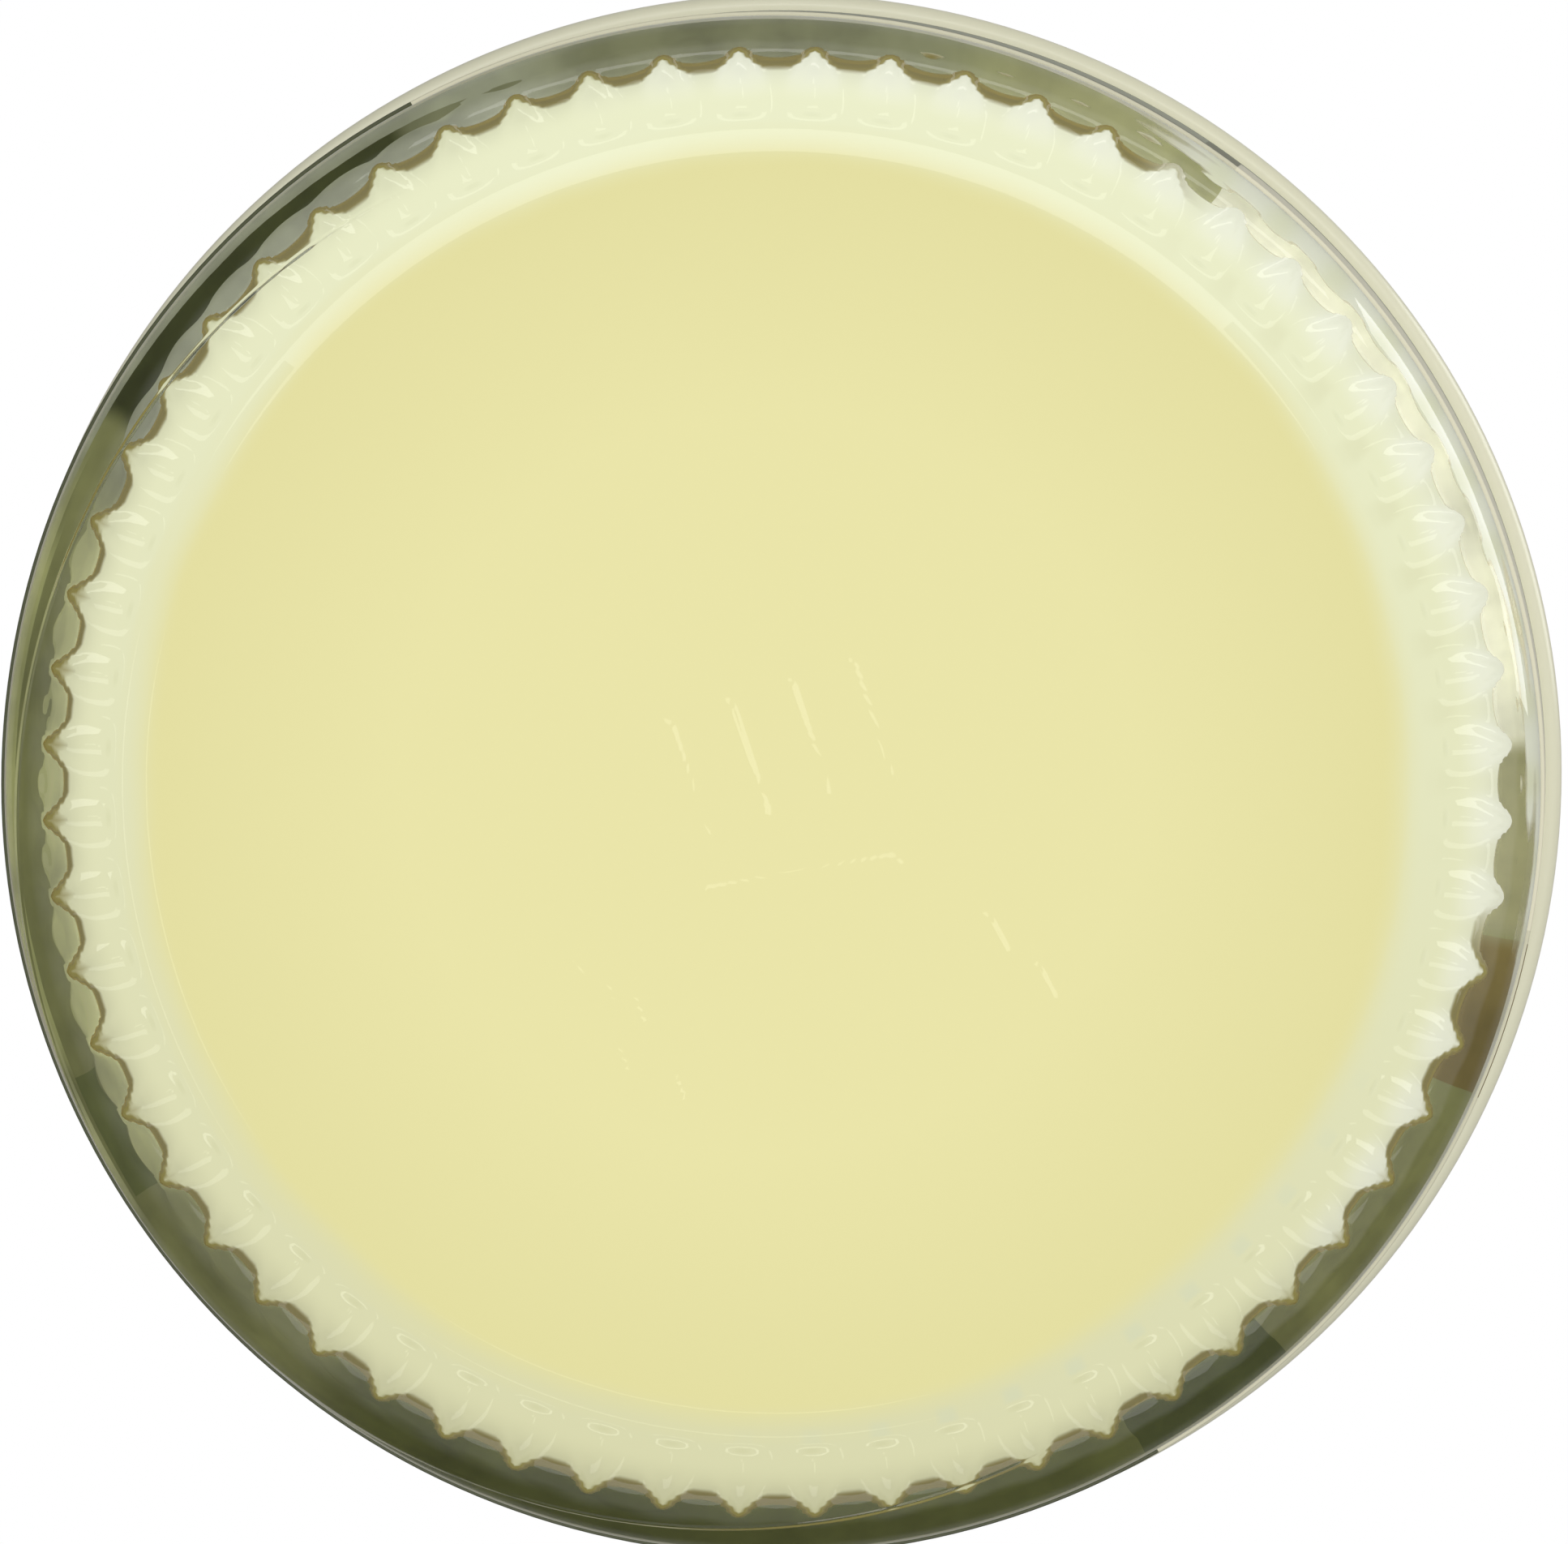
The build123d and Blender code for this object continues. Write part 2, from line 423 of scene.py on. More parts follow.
def creamMaterial(name, nearRim):
    # baked clotted cream against glass: pale yellow, dense and matt; paler at the rim, in painted light on one side
    # and painted shade on the other
    material, tree, output = newMaterial(name)
    place = addNode(tree, "ShaderNodeTexCoord")
    axes = addNode(tree, "ShaderNodeSeparateXYZ", {0: place.outputs["Object"]})
    flat = addNode(tree, "ShaderNodeCombineXYZ", {"X": axes.outputs["X"], "Y": axes.outputs["Y"]})
    out = addNode(tree, "ShaderNodeVectorMath", {0: flat.outputs[0]}, operation="LENGTH")
    clouds = addNode(tree, "ShaderNodeTexNoise", {"Vector": place.outputs["Object"], "Scale": 90.0, "Detail": 2.0})
    wander = addNode(tree, "ShaderNodeMath", {
        0: clouds.outputs["Fac"], 1: creamLook["clouds"] * millimetre, 2: out.outputs["Value"]}, operation="MULTIPLY_ADD")
    # painted shade: a little darker from the heart out to the edge
    edgeShadeShare = addNode(tree, "ShaderNodeMapRange", {
        "Value": wander.outputs[0], "From Min": creamLook["heartRadius"] * millimetre,
        "From Max": creamLook["edgeRadius"] * millimetre})
    yellow = addNode(tree, "ShaderNodeMix", {
        0: edgeShadeShare.outputs[0], 6: hexColour(creamLook["heart"]), 7: hexColour(creamLook["edge"])}, data_type="RGBA")
    matt = addNode(tree, "ShaderNodeBsdfPrincipled", {
        "Base Color": yellow.outputs[2], "Roughness": 0.55, "IOR": 1.35, "Specular IOR Level": 0.0})
    if not nearRim:
        tree.links.new(matt.outputs[0], output.inputs["Surface"])
        return material
    # painted light on the rim: lighter on the side the light falls on, painted shade on the other
    turn = math.radians(creamLook["paintedLitSeen"])
    towardPaintedLit = (*seenFromBelow(math.cos(turn), math.sin(turn)), 0)
    side = addNode(tree, "ShaderNodeVectorMath", {0: flat.outputs[0], 1: towardPaintedLit}, operation="DOT_PRODUCT")
    share = addNode(tree, "ShaderNodeMapRange", {
        "Value": side.outputs["Value"], "From Min": -bodyRadius * millimetre, "From Max": bodyRadius * millimetre})
    paintedSideLight = addNode(tree, "ShaderNodeMix", {
        0: share.outputs[0], 6: hexColour(creamLook["shade"]), 7: hexColour(creamLook["paintedLit"])}, data_type="RGBA")
    rim = addNode(tree, "ShaderNodeMapRange", {
        "Value": wander.outputs[0], "From Min": creamLook["edgeRadius"] * millimetre,
        "From Max": (creamLook["rimRadius"] + 1.5) * millimetre}, interpolation_type="SMOOTHSTEP")
    colours = addNode(tree, "ShaderNodeMix", {
        0: rim.outputs[0], 6: yellow.outputs[2], 7: paintedSideLight.outputs[2]}, data_type="RGBA")
    # painted shade in duller squares between the ribs, a painted cool shadow under them, and painted light as a gleam
    # over them
    shifted = addNode(tree, "ShaderNodeVectorMath", {
        0: flat.outputs[0], 1: (*(v * millimetre for v in coreOffset(1)), 0)}, operation="SUBTRACT")
    shiftedAxes = addNode(tree, "ShaderNodeSeparateXYZ", {0: shifted.outputs[0]})
    angle = addNode(tree, "ShaderNodeMath", {0: shiftedAxes.outputs["Y"], 1: shiftedAxes.outputs["X"]},
                    operation="ARCTAN2")
    fromCore = addNode(tree, "ShaderNodeVectorMath", {0: shifted.outputs[0]}, operation="LENGTH")

    def ring(inner, outer, soft):
        edges = []
        for low, high in ((inner - soft, inner + soft), (outer + soft, outer - soft)):
            edge = addNode(tree, "ShaderNodeMapRange", {
                "Value": fromCore.outputs["Value"], "From Min": low * millimetre, "From Max": high * millimetre},
                interpolation_type="SMOOTHSTEP")
            edges.append(edge.outputs[0])
        both = addNode(tree, "ShaderNodeMath", {0: edges[0], 1: edges[1]}, operation="MULTIPLY")
        return both.outputs[0]

    def toward(seen, start, end):
        # nothing until the side's dot product reaches start, all beyond end, as shares of the bore
        a = math.radians(seen)
        dot = addNode(tree, "ShaderNodeVectorMath", {
            0: flat.outputs[0], 1: (*seenFromBelow(math.cos(a), math.sin(a)), 0)}, operation="DOT_PRODUCT")
        bore = 35.0 * millimetre
        ramp = addNode(tree, "ShaderNodeMapRange", {
            "Value": dot.outputs["Value"], "From Min": start * bore, "From Max": end * bore},
            interpolation_type="SMOOTHSTEP")
        return ramp.outputs[0]

    # the painted rib light and shade are put only low in the cream, fading out above
    darkFrom, lightBelow = creamLook["paintedRibLightTop"]
    low = addNode(tree, "ShaderNodeMapRange", {
        "Value": axes.outputs["Z"], "From Min": darkFrom * millimetre, "From Max": lightBelow * millimetre})
    tone = colours.outputs[2]
    turns = addNode(tree, "ShaderNodeMath", {0: angle.outputs[0], 1: float(jarSizes["ribs"])}, operation="MULTIPLY")
    wave = addNode(tree, "ShaderNodeMath", {0: turns.outputs[0]}, operation="COSINE")
    for name, none, full, inner, outer, soft, strength, side, share in creamLook["paintedRibLight"]:
        bump = addNode(tree, "ShaderNodeMapRange", {
            "Value": wave.outputs[0], "From Min": float(none), "From Max": float(full)},
            interpolation_type="SMOOTHSTEP")
        inRing = addNode(tree, "ShaderNodeMath", {0: bump.outputs[0], 1: ring(inner, outer, soft)},
                         operation="MULTIPLY")
        inSide = addNode(tree, "ShaderNodeMath", {0: inRing.outputs[0], 1: toward(side, share, share + 0.25)},
                         operation="MULTIPLY")
        mask = addNode(tree, "ShaderNodeMath", {0: inSide.outputs[0], 1: low.outputs[0]}, operation="MULTIPLY")
        amount = addNode(tree, "ShaderNodeMath", {0: mask.outputs[0], 1: strength}, operation="MULTIPLY")
        mix = addNode(tree, "ShaderNodeMix", {0: amount.outputs[0], 6: tone, 7: hexColour(creamLook[name])},
                      data_type="RGBA")
        tone = mix.outputs[2]
    facing = addNode(tree, "ShaderNodeLayerWeight", {"Blend": 0.5})
    slightly, wholly = creamLook["glossFacing"]
    slant = addNode(tree, "ShaderNodeMapRange", {
        "Value": facing.outputs["Facing"], "From Min": slightly, "From Max": wholly,
        "To Max": creamLook["glossShare"]})
    # the side the light falls on: no painted shade line and no partial gloss there
    awayFromLitSide = toward(creamLook["litSideSeen"], 0.88, 0.8)
    glancing = addNode(tree, "ShaderNodeMath", {0: slant.outputs[0], 1: awayFromLitSide}, operation="MULTIPLY")
    slightly, wholly = creamLook["mirrorFacing"]
    critical = addNode(tree, "ShaderNodeMapRange", {
        "Value": facing.outputs["Facing"], "From Min": slightly, "From Max": wholly})
    shine = addNode(tree, "ShaderNodeMath", {0: glancing.outputs[0], 1: critical.outputs[0]}, operation="MAXIMUM")
    tint = addNode(tree, "ShaderNodeMix", {
        0: critical.outputs[0], 6: hexColour(creamLook["warmGloss"]), 7: (1.0, 1.0, 1.0, 1.0)}, data_type="RGBA")
    # painted shade: a thin browner line round the bottom corner of the cream, kept off the side the light falls on
    lineLow, lineHigh = (height * millimetre for height in creamLook["cornerShadeLine"])
    fromLine = addNode(tree, "ShaderNodeMath", {0: axes.outputs["Z"], 1: (lineLow + lineHigh) / 2},
                       operation="SUBTRACT")
    lineAway = addNode(tree, "ShaderNodeMath", {0: fromLine.outputs[0]}, operation="ABSOLUTE")
    halfLine, fade = (lineHigh - lineLow) / 2, creamLook["cornerShadeFade"] * millimetre
    line = addNode(tree, "ShaderNodeMapRange", {
        "Value": lineAway.outputs[0], "From Min": halfLine + fade, "From Max": halfLine - fade},
        interpolation_type="SMOOTHSTEP")
    cornerShadeHere = addNode(tree, "ShaderNodeMath", {0: line.outputs[0], 1: awayFromLitSide}, operation="MULTIPLY")
    cornerShaded = addNode(tree, "ShaderNodeMix", {
        0: cornerShadeHere.outputs[0], 6: tone, 7: hexColour(creamLook["cornerShade"])}, data_type="RGBA")
    tree.links.new(cornerShaded.outputs[2], matt.inputs["Base Color"])
    mirror = addNode(tree, "ShaderNodeBsdfAnisotropic", {"Color": tint.outputs[2], "Roughness": 0.0})
    both = addNode(tree, "ShaderNodeMixShader", {
        0: shine.outputs[0], 1: matt.outputs[0], 2: mirror.outputs[0]})
    tree.links.new(both.outputs[0], output.inputs["Surface"])
    return material


def crustMaterial():
    # the golden baked skin on top of clotted cream
    material, tree, output = newMaterial("BakedCreamCrust")
    place = addNode(tree, "ShaderNodeTexCoord")
    lumps = addNode(tree, "ShaderNodeTexNoise", {"Vector": place.outputs["Object"], "Scale": 220.0, "Detail": 4.0})
    tone = addNode(tree, "ShaderNodeMix", {
        0: lumps.outputs["Fac"], 6: hexColour(creamLook["crust"]), 7: hexColour(creamLook["heart"])},
        data_type="RGBA")
    bump = addNode(tree, "ShaderNodeBump", {"Height": lumps.outputs["Fac"], "Strength": 0.4, "Distance": 0.0006})
    skin = addNode(tree, "ShaderNodeBsdfPrincipled", {
        "Base Color": tone.outputs[2], "Roughness": 0.5, "Normal": bump.outputs["Normal"]})
    tree.links.new(skin.outputs[0], output.inputs["Surface"])
    return material


def makeCream():
    level = inMillimetres("cream")[1].z
    reach = creamLook["reach"]
    side = roundedPath(innerCorners(level, reach), 0.25, 1.5)
    rows = turnedRows(side, wallColumns, innerShape)
    mouth = side[-1][0]
    angle = np.arange(wallColumns) * 2 * math.pi / wallColumns
    sideRows = len(rows)
    for radius in np.linspace(mouth - 1, 1, 34):
        x, y = radius * np.cos(angle), radius * np.sin(angle)
        lump = 0.22 * np.sin(x * 0.55 + 0.3) * np.sin(y * 0.47) + 0.14 * np.sin(x * 1.3 - y * 0.9)
        rows.append(np.stack([x, y, level - 0.35 + lump * smoothStep(mouth, mouth - 4, x * 0 + radius)], axis=1))
    cream = ringMesh("creamFill", rows, (*coreOffset(1), side[0][1]), (0, 0, level - 0.35))
    cream.data.materials.append(creamMaterial("ClottedCreamRim", True))
    cream.data.materials.append(crustMaterial())
    cream.data.materials.append(creamMaterial("ClottedCreamHeart", False))
    firstTop = (sideRows - 1) * wallColumns
    lastTop = (len(rows) - 1) * wallColumns
    for face in cream.data.polygons:
        inTop = firstTop <= face.index < lastTop or face.index >= lastTop + wallColumns
        inHeart = face.center.xy.length / millimetre < creamLook["edgeRadius"] - 2
        face.material_index = 1 if inTop else 2 if inHeart else 0
    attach(cream, "root")
    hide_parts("cream")
    return cream


lidSizes = {  # millimetres
    "sheet": 0.5, "curl": 0.8, "inset": 0.7, "corner": 1.5, "rimWidth": 5.9, "recess": 0.9, "slope": 1.0,
    "button": 9.0, "buttonSlope": 0.8, "buttonHeight": 0.4, "rounding": 0.3,
}


def lidMaterial():
    # stove-enamelled tinplate: smooth ivory, semi-gloss, the faintest orange peel
    material, tree, output = newMaterial("IvoryEnamelTinplate")
    place = addNode(tree, "ShaderNodeTexCoord")
    peel = addNode(tree, "ShaderNodeTexNoise", {"Vector": place.outputs["Object"], "Scale": 900.0, "Detail": 2.0})
    bump = addNode(tree, "ShaderNodeBump", {"Height": peel.outputs["Fac"], "Strength": 0.08, "Distance": 0.0002})
    patches = addNode(tree, "ShaderNodeTexNoise", {"Vector": place.outputs["Object"], "Scale": 35.0, "Detail": 3.0})
    gloss = addNode(tree, "ShaderNodeMapRange", {
        "Value": patches.outputs["Fac"], "To Min": 0.27, "To Max": 0.34})
    tone = addNode(tree, "ShaderNodeMix", {
        0: patches.outputs["Fac"], 6: hexColour("#EAE8CD"), 7: hexColour("#E5E3C7")}, data_type="RGBA")
    enamel = addNode(tree, "ShaderNodeBsdfPrincipled", {
        "Base Color": tone.outputs[2], "Roughness": gloss.outputs[0], "IOR": 1.5, "Coat Weight": 0.3,
        "Coat Roughness": 0.12, "Normal": bump.outputs["Normal"]})
    tree.links.new(enamel.outputs[0], output.inputs["Surface"])
    return material


def makeLid():
    low, high = inMillimetres("lid")
    s = lidSizes
    rim = high.z
    panel = rim - s["recess"]
    skirt = high.x - s["inset"]
    rimInner = skirt - s["rimWidth"]
    curlCentre, curlHeight = high.x - s["curl"], low.z + s["curl"]
    pressed = [(s["button"] - s["buttonSlope"], panel + s["buttonHeight"]), (s["button"], panel),
               (rimInner - s["slope"], panel), (rimInner, rim)]
    over = [(r, z, s["rounding"]) for r, z in pressed] + [(skirt, rim, s["corner"])]
    startAngle = math.acos((skirt - curlCentre) / s["curl"])
    over += [(skirt, curlHeight + s["curl"] * math.sin(startAngle), 0)]
    outside = roundedPath([(0.5, panel + s["buttonHeight"], 0)] + over, 0.12, 1.2)
    inner = skirt - s["sheet"]
    endAngle = math.acos((inner - curlCentre) / s["curl"])
    sweep = np.linspace(startAngle, endAngle - 2 * math.pi, 40)
    curl = np.stack([curlCentre + s["curl"] * np.cos(sweep), curlHeight + s["curl"] * np.sin(sweep)], axis=1)
    under = [(inner, rim - s["sheet"], s["corner"] - s["sheet"])]
    under += [(r, z - s["sheet"], s["rounding"]) for r, z in reversed(pressed)]
    inside = roundedPath([(inner, curl[-1][1] + 0.1, 0)] + under + [
        (0.5, panel + s["buttonHeight"] - s["sheet"], 0)], 0.12, 1.2)
    path = np.concatenate([outside, curl[1:], inside])
    rows = turnedRows(path, wallColumns)[::-1]
    lid = ringMesh("tinLid", rows, (0, 0, panel + s["buttonHeight"] - s["sheet"]), (0, 0, panel + s["buttonHeight"]))
    lid.data.materials.append(lidMaterial())
    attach(lid, "root")
    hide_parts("lid")
    return lid


labelLook = {
    "reach": 0.03,  # millimetres into the glass: glue leaves no air behind the film
    "edge": 0.04,
}
# colour, then the patch: from and to angle as seen from below, from and to share of the height, and how many
# degrees its ends fade over
frontInk = [
    ("#5D6038", 0, 360, 0, 1, 0), ("#8E9276", 200, 56, 0.14, 0.9, 0), ("#41452A", 0, 360, -0.1, 0.12, 0),
    ("#41452A", 0, 360, 0.93, 1.1, 0), ("#C9C6AC", 118, -60, -0.1, 0.01, 0), ("#DAD6BC", 53, -11, -0.1, 0.86, 0),
    ("#3F4A26", 213, 203, 0, 0.4, 0), ("#6A5B33", 348, 336, 0, 0.6, 0),
]
# back of the label: the print seen through the film, with painted light and shade, lighter and darker round the jar
# by how the light falls
backInkAndPaintedLight = [
    ("#A9AA78", 0, 360, -0.1, 1.1, 0), ("#CACB98", 235, 140, -0.1, 1.1, 12), ("#FFFFD2", 213, 158, -0.1, 0.25, 10),
    ("#CBCA9E", 74, 48, -0.1, 1.1, 10), ("#B2B394", 122, 74, -0.1, 1.1, 10), ("#969A5E", 300, 235, -0.1, 1.1, 10),
    ("#A8A874", 334, 312, -0.1, 1.1, 8), ("#F6F7C2", 202, 162, 0.25, 0.3, 6), ("#DCDECC", 156, 108, -0.1, 0.2, 10),
    ("#6E7346", 151, 120, 0.2, 1.1, 2),
    ("#AEB47E", 213, 203, 0.3, 1.1, 0), ("#7D8352", 312, 299, -0.1, 1.1, 0), ("#9C8C5A", 348, 336, -0.1, 0.6, 0),
    ("#FFFDF0", 53, 2, -0.1, 0.9, 0), ("#B8B592", 3, -12, -0.1, 1.1, 2),
    ("#CECBA7", 12, 2, 0.2, 1.1, 2),
]


def inkField(tree, patches):
    # plain printed patches, by angle round the jar and share of the label's height
    low, high = inMillimetres("label")
    place = addNode(tree, "ShaderNodeTexCoord")
    axes = addNode(tree, "ShaderNodeSeparateXYZ", {0: place.outputs["Object"]})
    turn = addNode(tree, "ShaderNodeMath", {0: axes.outputs["Y"], 1: axes.outputs["X"]}, operation="ARCTAN2")
    degrees = addNode(tree, "ShaderNodeMath", {0: turn.outputs[0], 1: 180 / math.pi}, operation="MULTIPLY")
    height = addNode(tree, "ShaderNodeMapRange", {
        "Value": axes.outputs["Z"], "From Min": low.z * millimetre, "From Max": high.z * millimetre})
    ink = hexColour(patches[0][0])
    for code, fromSeen, toSeen, fromHeight, toHeight, fade in patches[1:]:
        start, end = underView["roll"] - fromSeen, underView["roll"] - toSeen
        away = addNode(tree, "ShaderNodeMath", {0: degrees.outputs[0], 1: (start + end) / 2}, operation="SUBTRACT")
        wrap = addNode(tree, "ShaderNodeMath", {0: away.outputs[0], 1: -180.0, 2: 180.0}, operation="WRAP")
        side = addNode(tree, "ShaderNodeMath", {0: wrap.outputs[0]}, operation="ABSOLUTE")
        half, soft = abs(end - start) / 2, fade / 2 + 0.01
        inTurn = addNode(tree, "ShaderNodeMapRange", {
            "Value": side.outputs[0], "From Min": half + soft, "From Max": half - soft},
            interpolation_type="SMOOTHSTEP")
        level = addNode(tree, "ShaderNodeMath", {0: height.outputs[0], 1: (fromHeight + toHeight) / 2},
                        operation="SUBTRACT")
        rise = addNode(tree, "ShaderNodeMath", {0: level.outputs[0]}, operation="ABSOLUTE")
        inRise = addNode(tree, "ShaderNodeMath", {0: rise.outputs[0], 1: (toHeight - fromHeight) / 2},
                         operation="LESS_THAN")
        inside = addNode(tree, "ShaderNodeMath", {0: inTurn.outputs[0], 1: inRise.outputs[0]}, operation="MULTIPLY")
        mix = addNode(tree, "ShaderNodeMix", {0: inside.outputs[0], 6: ink, 7: hexColour(code)}, data_type="RGBA")
        ink = mix.outputs[2]
    return ink


def labelFrontMaterial():
    # printed polypropylene film: matt olive inks under a satin varnish
    material, tree, output = newMaterial("PrintedFilmSatin")
    ink = inkField(tree, frontInk)
    place = addNode(tree, "ShaderNodeTexCoord")
    grain = addNode(tree, "ShaderNodeTexNoise", {"Vector": place.outputs["Object"], "Scale": 1500.0, "Detail": 1.0})
    bump = addNode(tree, "ShaderNodeBump", {"Height": grain.outputs["Fac"], "Strength": 0.05, "Distance": 0.0001})
    film = addNode(tree, "ShaderNodeBsdfPrincipled", {
        "Base Color": ink, "Roughness": 0.32, "IOR": 1.49, "Normal": bump.outputs["Normal"]})
    tree.links.new(film.outputs[0], output.inputs["Surface"])
    return material


def labelBackMaterial():
    # the back of the film, stuck to the glass: daylight through thin ink; its colours are the print together with
    # painted light and shade round the jar
    material, tree, output = newMaterial("PrintedFilmBackWithPaintedLight")
    ink = inkField(tree, backInkAndPaintedLight)
    place = addNode(tree, "ShaderNodeTexCoord")
    streaks = addNode(tree, "ShaderNodeMapping", {"Vector": place.outputs["Object"], "Scale": (1.0, 1.0, 0.35)})
    patches = addNode(tree, "ShaderNodeTexNoise", {"Vector": streaks.outputs[0], "Scale": 260.0, "Detail": 3.0})
    spread = addNode(tree, "ShaderNodeMapRange", {
        "Value": patches.outputs["Fac"], "From Min": 0.3, "From Max": 0.7, "To Min": 0.78, "To Max": 1.12})
    mottled = addNode(tree, "ShaderNodeVectorMath", {0: ink, 1: spread.outputs[0]}, operation="MULTIPLY")
    ink = mottled.outputs[0]
    paint = addNode(tree, "ShaderNodeBsdfDiffuse", {"Color": ink})
    through = addNode(tree, "ShaderNodeBsdfTranslucent", {"Color": ink})
    both = addNode(tree, "ShaderNodeMixShader", {0: 0.8, 1: paint.outputs[0], 2: through.outputs[0]})
    tree.links.new(both.outputs[0], output.inputs["Surface"])
    return material


def makeLabel():
    low, high = inMillimetres("label")
    inner, outer, edge = bodyRadius - labelLook["reach"], high.x, labelLook["edge"]
    path = [(inner, low.z), (outer - edge, low.z), (outer, low.z + edge)]
    path += [(outer, z) for z in np.linspace(low.z + 1, high.z - 1, 24)]
    path += [(outer, high.z - edge), (outer - edge, high.z), (inner, high.z)]
    path += [(inner, z) for z in np.linspace(high.z - 1, low.z + 1, 24)]
    rows = turnedRows(np.array(path), wallColumns)
    label = ringMesh("filmLabel", rows, closed=True)
    label.data.materials.append(labelFrontMaterial())
    label.data.materials.append(labelBackMaterial())
    for face in label.data.polygons:
        face.material_index = 1 if (face.center.xy.length / millimetre) < (inner + edge / 2) else 0
    label.visible_shadow = False  # thin film: lights the glass behind it
    label.visible_diffuse = False
    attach(label, "root")
    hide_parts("label")
    return label


studio = {
    "background": "#FFFFFF", "floor": "#F2F0EC", "floorRadius": 0.6, "floorGlow": 0.22,
    "top": ((-0.08, -0.1, 1.0), (1.1, 1.1), 1.6),  # light above: place, size, radiance
    "under": [  # lights below: name, degrees off the axis, side as seen, metres, size, radiance
        ("keyStrip", 46, 80, 0.9, (1.1, 0.15), 2.2),
        ("sideSoftbox", 108, 22, 0.9, (0.5, 0.5), 3.0),
        ("lowerBox", 22, 270, 0.95, (0.7, 0.3), 1.3),
        ("nearRight", 9, 5, 0.95, (0.12, 0.08), 1.5),
        ("nearTop", 9, 85, 0.95, (0.12, 0.08), 1.3),
    ],
    # brightness of the room from straight below (-1), past the horizon (0), to straight above (1)
    "walls": [(-1, 0.93), (-0.45, 0.93), (-0.2, 0.17), (0.4, 0.12), (0.6, 0.25), (1, 0.35)],
}


def makeFloor():
    mesh = bpy.data.meshes.new("studioFloor")
    count, radius = 96, studio["floorRadius"]
    points = [(radius * math.cos(2 * math.pi * k / count), radius * math.sin(2 * math.pi * k / count), 0)
              for k in range(count)]
    mesh.from_pydata(points, [], [tuple(range(count))])
    floor = bpy.data.objects.new("studioFloor", mesh)
    scene.collection.objects.link(floor)
    material, tree, output = newMaterial("PalePaperFloor")
    paper = addNode(tree, "ShaderNodeBsdfPrincipled", {
        "Base Color": hexColour(studio["floor"]), "Roughness": 0.9, "Specular IOR Level": 0.0,
        "Emission Color": hexColour(studio["floor"]), "Emission Strength": studio["floorGlow"]})
    clear = addNode(tree, "ShaderNodeBsdfTransparent")
    side = addNode(tree, "ShaderNodeNewGeometry")
    place = addNode(tree, "ShaderNodeTexCoord")
    out = addNode(tree, "ShaderNodeVectorMath", {0: place.outputs["Object"]}, operation="LENGTH")
    fade = addNode(tree, "ShaderNodeMapRange", {
        "Value": out.outputs["Value"], "From Min": radius * 0.3, "From Max": radius * 0.95},
        interpolation_type="SMOOTHSTEP")
    hidden = addNode(tree, "ShaderNodeMath", {0: side.outputs["Backfacing"], 1: fade.outputs[0]},
                     operation="MAXIMUM")
    both = addNode(tree, "ShaderNodeMixShader", {0: hidden.outputs[0], 1: paper.outputs[0], 2: clear.outputs[0]})
    tree.links.new(both.outputs[0], output.inputs["Surface"])
    mesh.materials.append(material)
    floor.visible_diffuse = False  # seen only by the camera, and only from above
    floor.visible_glossy = False
    floor.visible_transmission = False
    floor.visible_shadow = False


def makeLight(name, place, target, size, radiance):
    data = bpy.data.lights.new(name, "AREA")
    data.shape = "RECTANGLE"
    data.size, data.size_y = size
    data.energy = radiance * math.pi * size[0] * size[1]
    light = bpy.data.objects.new(name, data)
    light.location = place
    light.rotation_euler = (Vector(target) - Vector(place)).to_track_quat("-Z", "Y").to_euler()
    light.visible_camera = False
    scene.collection.objects.link(light)
    return light


def makeCamera():
    low, high = inMillimetres("lid")
    curl = (low.z + lidSizes["curl"]) * millimetre
    tilt, seen = math.radians(underView["tilt"]), math.radians(underView["tiltSeen"])
    aside = seenFromBelow(math.cos(seen), math.sin(seen))
    distance = underView["distance"] + curl
    back = Vector((aside[0] * math.sin(tilt), aside[1] * math.sin(tilt), -math.cos(tilt)))
    data = bpy.data.cameras.new("undersideCamera")
    data.sensor_width = 36.0
    data.lens = data.sensor_width * distance / ((high.x - low.x) * millimetre * underView["framing"])
    data.clip_end = 20
    camera = bpy.data.objects.new("undersideCamera", data)
    scene.collection.objects.link(camera)
    camera.location = Vector((0, 0, curl)) + back * distance
    up = Vector((*seenFromBelow(0, 1), 0))
    forward = -back
    right = forward.cross(up).normalized()
    up = right.cross(forward)
    turn = np.array([right, up, -forward]).T
    camera.rotation_mode = "QUATERNION"
    camera.rotation_quaternion = Matrix(turn.tolist()).to_quaternion()
    scene.camera = camera


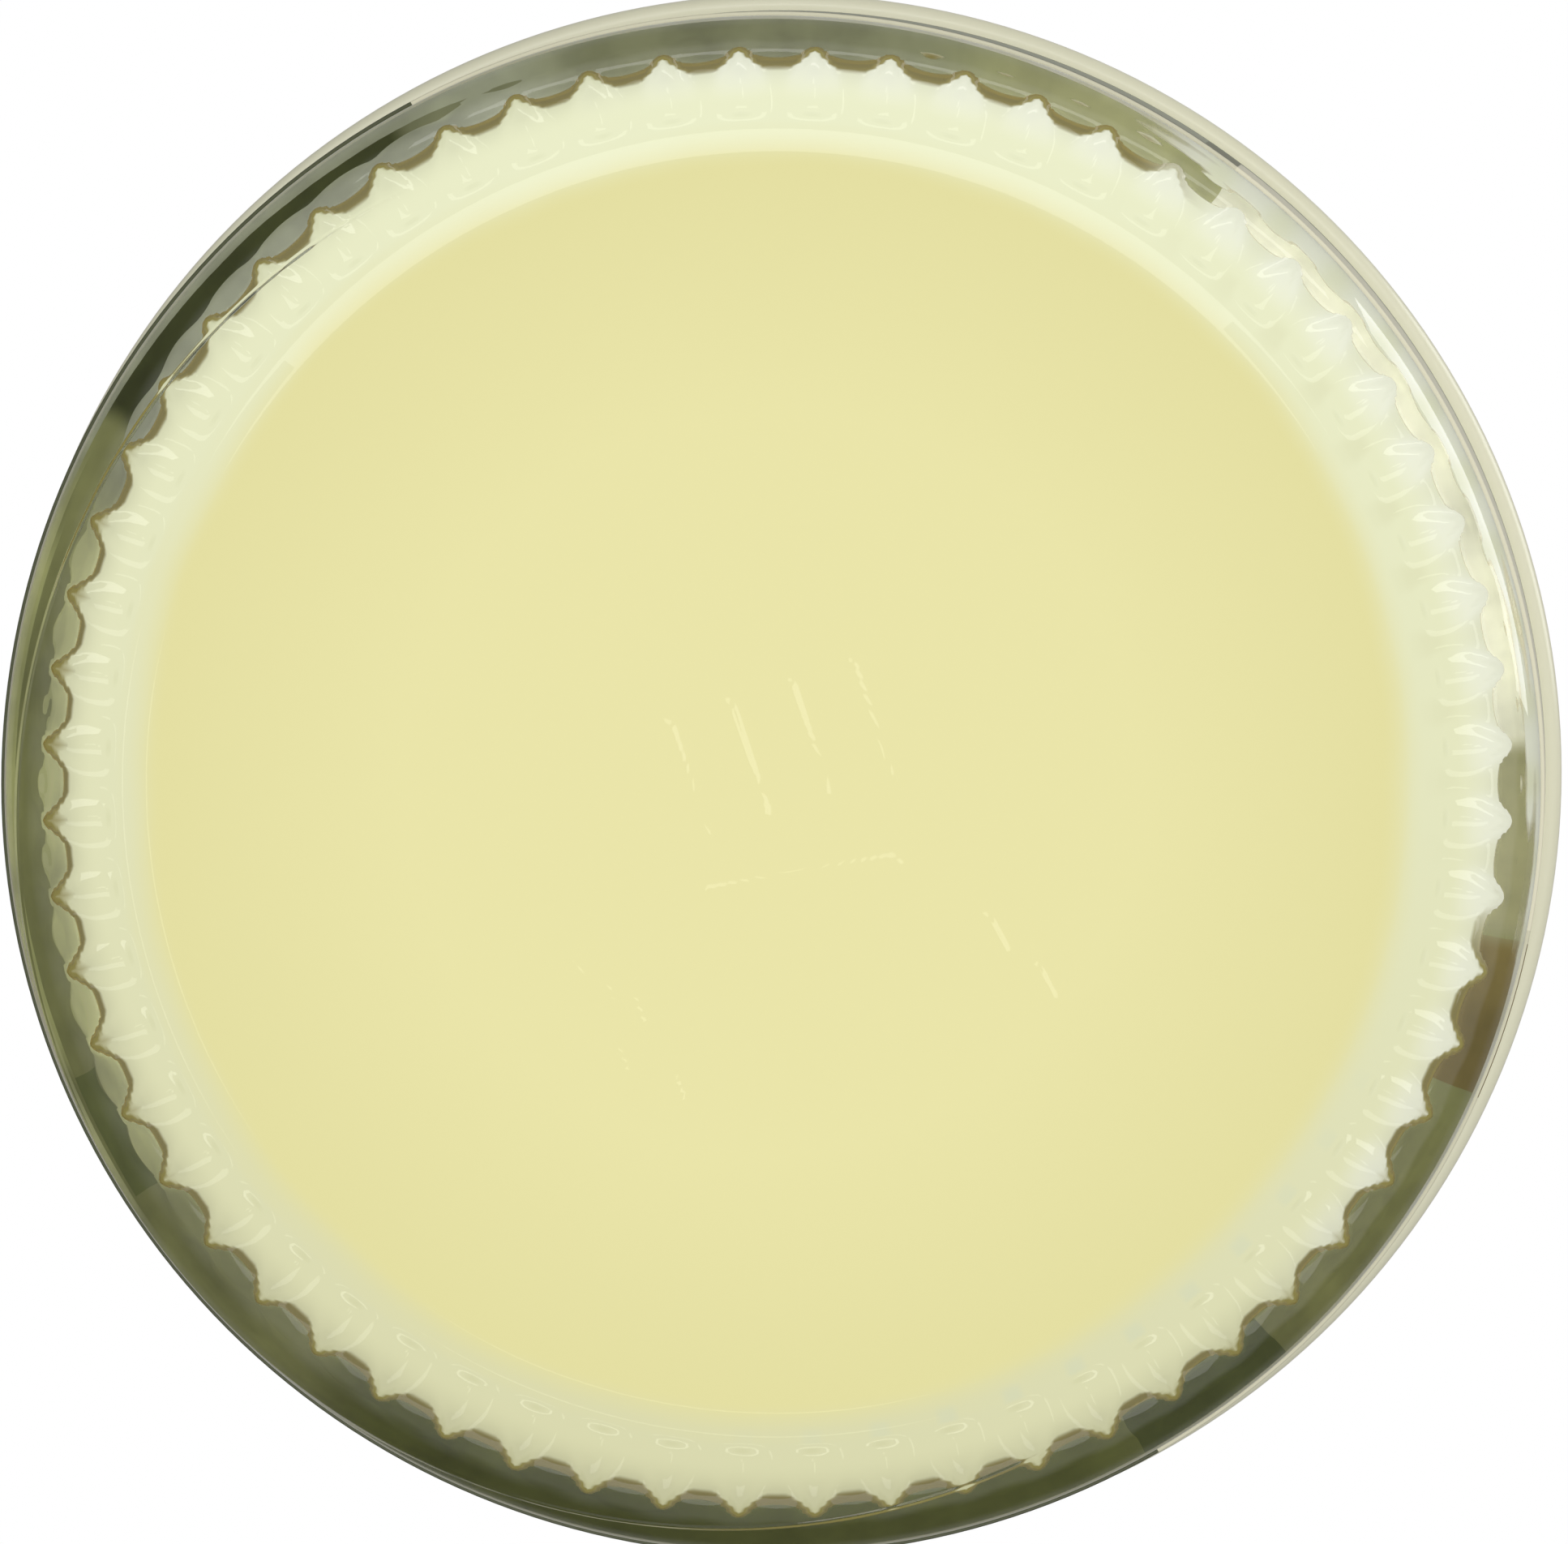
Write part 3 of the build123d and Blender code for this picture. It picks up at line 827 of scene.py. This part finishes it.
def makeStudio():
    world = bpy.data.worlds.new("paleStudio")
    scene.world = world
    world.use_nodes = True
    tree = world.node_tree
    tree.nodes.clear()
    output = addNode(tree, "ShaderNodeOutputWorld")
    place = addNode(tree, "ShaderNodeTexCoord")
    axes = addNode(tree, "ShaderNodeSeparateXYZ", {0: place.outputs["Generated"]})
    height = addNode(tree, "ShaderNodeMapRange", {
        "Value": axes.outputs["Z"], "From Min": -1.0, "From Max": 1.0})
    walls = addNode(tree, "ShaderNodeValToRGB", {0: height.outputs[0]})
    elements = walls.color_ramp.elements
    while len(elements) < len(studio["walls"]):
        elements.new(0.5)
    for element, (at, grey) in zip(elements, studio["walls"]):
        element.position = (at + 1) / 2
        element.color = (grey, grey, grey, 1)
    room = addNode(tree, "ShaderNodeBackground", {"Color": walls.outputs["Color"], "Strength": 1.0})
    backdrop = addNode(tree, "ShaderNodeBackground", {
        "Color": hexColour(studio["background"]), "Strength": 1.0})
    seen = addNode(tree, "ShaderNodeLightPath")
    both = addNode(tree, "ShaderNodeMixShader", {
        0: seen.outputs["Is Camera Ray"], 1: room.outputs[0], 2: backdrop.outputs[0]})
    tree.links.new(both.outputs[0], output.inputs["Surface"])
    makeFloor()
    for name, offAxis, side, distance, size, radiance in studio["under"]:
        a, b = math.radians(offAxis), math.radians(side)
        x, y = seenFromBelow(math.sin(a) * math.cos(b) * distance, math.sin(a) * math.sin(b) * distance)
        makeLight(name, (x, y, -math.cos(a) * distance), (0, 0, 0), size, radiance)
    spot, size, radiance = studio["top"]
    top = makeLight("topSoftbox", spot, (0, 0, 0.02), size, radiance)
    top.visible_glossy = False  # no glare along the rim of the glass
    top.visible_transmission = False
    scene.view_settings.view_transform = "Standard"
    scene.cycles.max_bounces = 16
    scene.cycles.transmission_bounces = 14
    scene.cycles.glossy_bounces = 8
    scene.cycles.diffuse_bounces = 3
    scene.cycles.transparent_max_bounces = 8


jar = makeJar()
print("glass jar made", len(jar.data.polygons))
makeCream()
print("cream made")
makeLid()
print("lid made")
makeLabel()
print("label made")
makeCamera()
makeStudio()
print("studio made")
